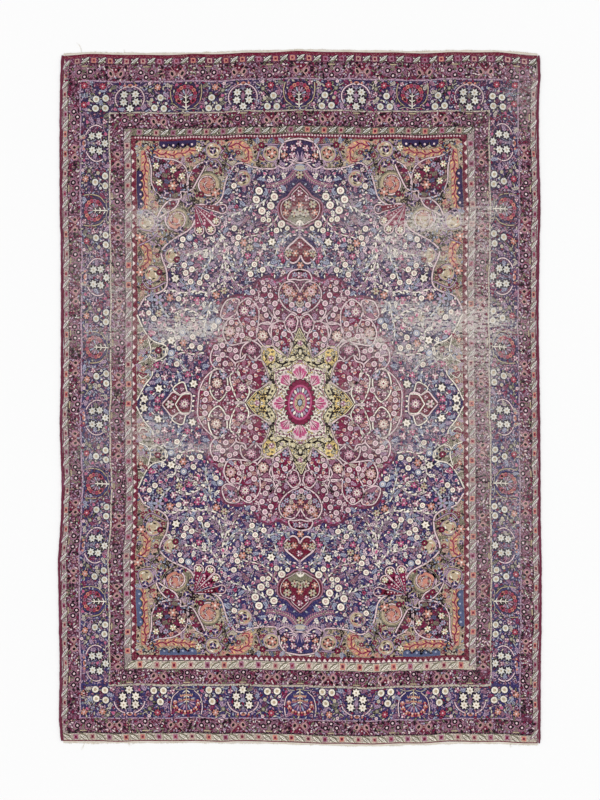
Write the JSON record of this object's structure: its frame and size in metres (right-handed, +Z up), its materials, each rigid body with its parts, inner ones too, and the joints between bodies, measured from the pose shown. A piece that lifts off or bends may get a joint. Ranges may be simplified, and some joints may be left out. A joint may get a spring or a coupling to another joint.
{
  "type": "persian rug",
  "caption": "Hand-knotted medallion rug lying flat: a worn wool pile slab, an overcast cord along each side and a frayed cotton web along each end.",
  "frame": {"origin": "middle of the rug's outline, on the floor it lies on", "axes": "+X across the rug, from the left side cord to the right one; +Y along its length, to the head end; +Z up, out of the pile"},
  "size_m": [2.719, 3.99, 0.0085],
  "materials": {
    "pile_wool": "matte wool pile, worn",
    "overcast_wool": "matte overcast wool",
    "foundation_cotton": "matte raw cotton"
  },
  "bodies": {
    "root": {"pile_body": "pile_wool", "side_cord_left": "overcast_wool", "side_cord_right": "overcast_wool", "end_web_head": "foundation_cotton", "end_web_foot": "foundation_cotton"}
  },
  "joints": []
}
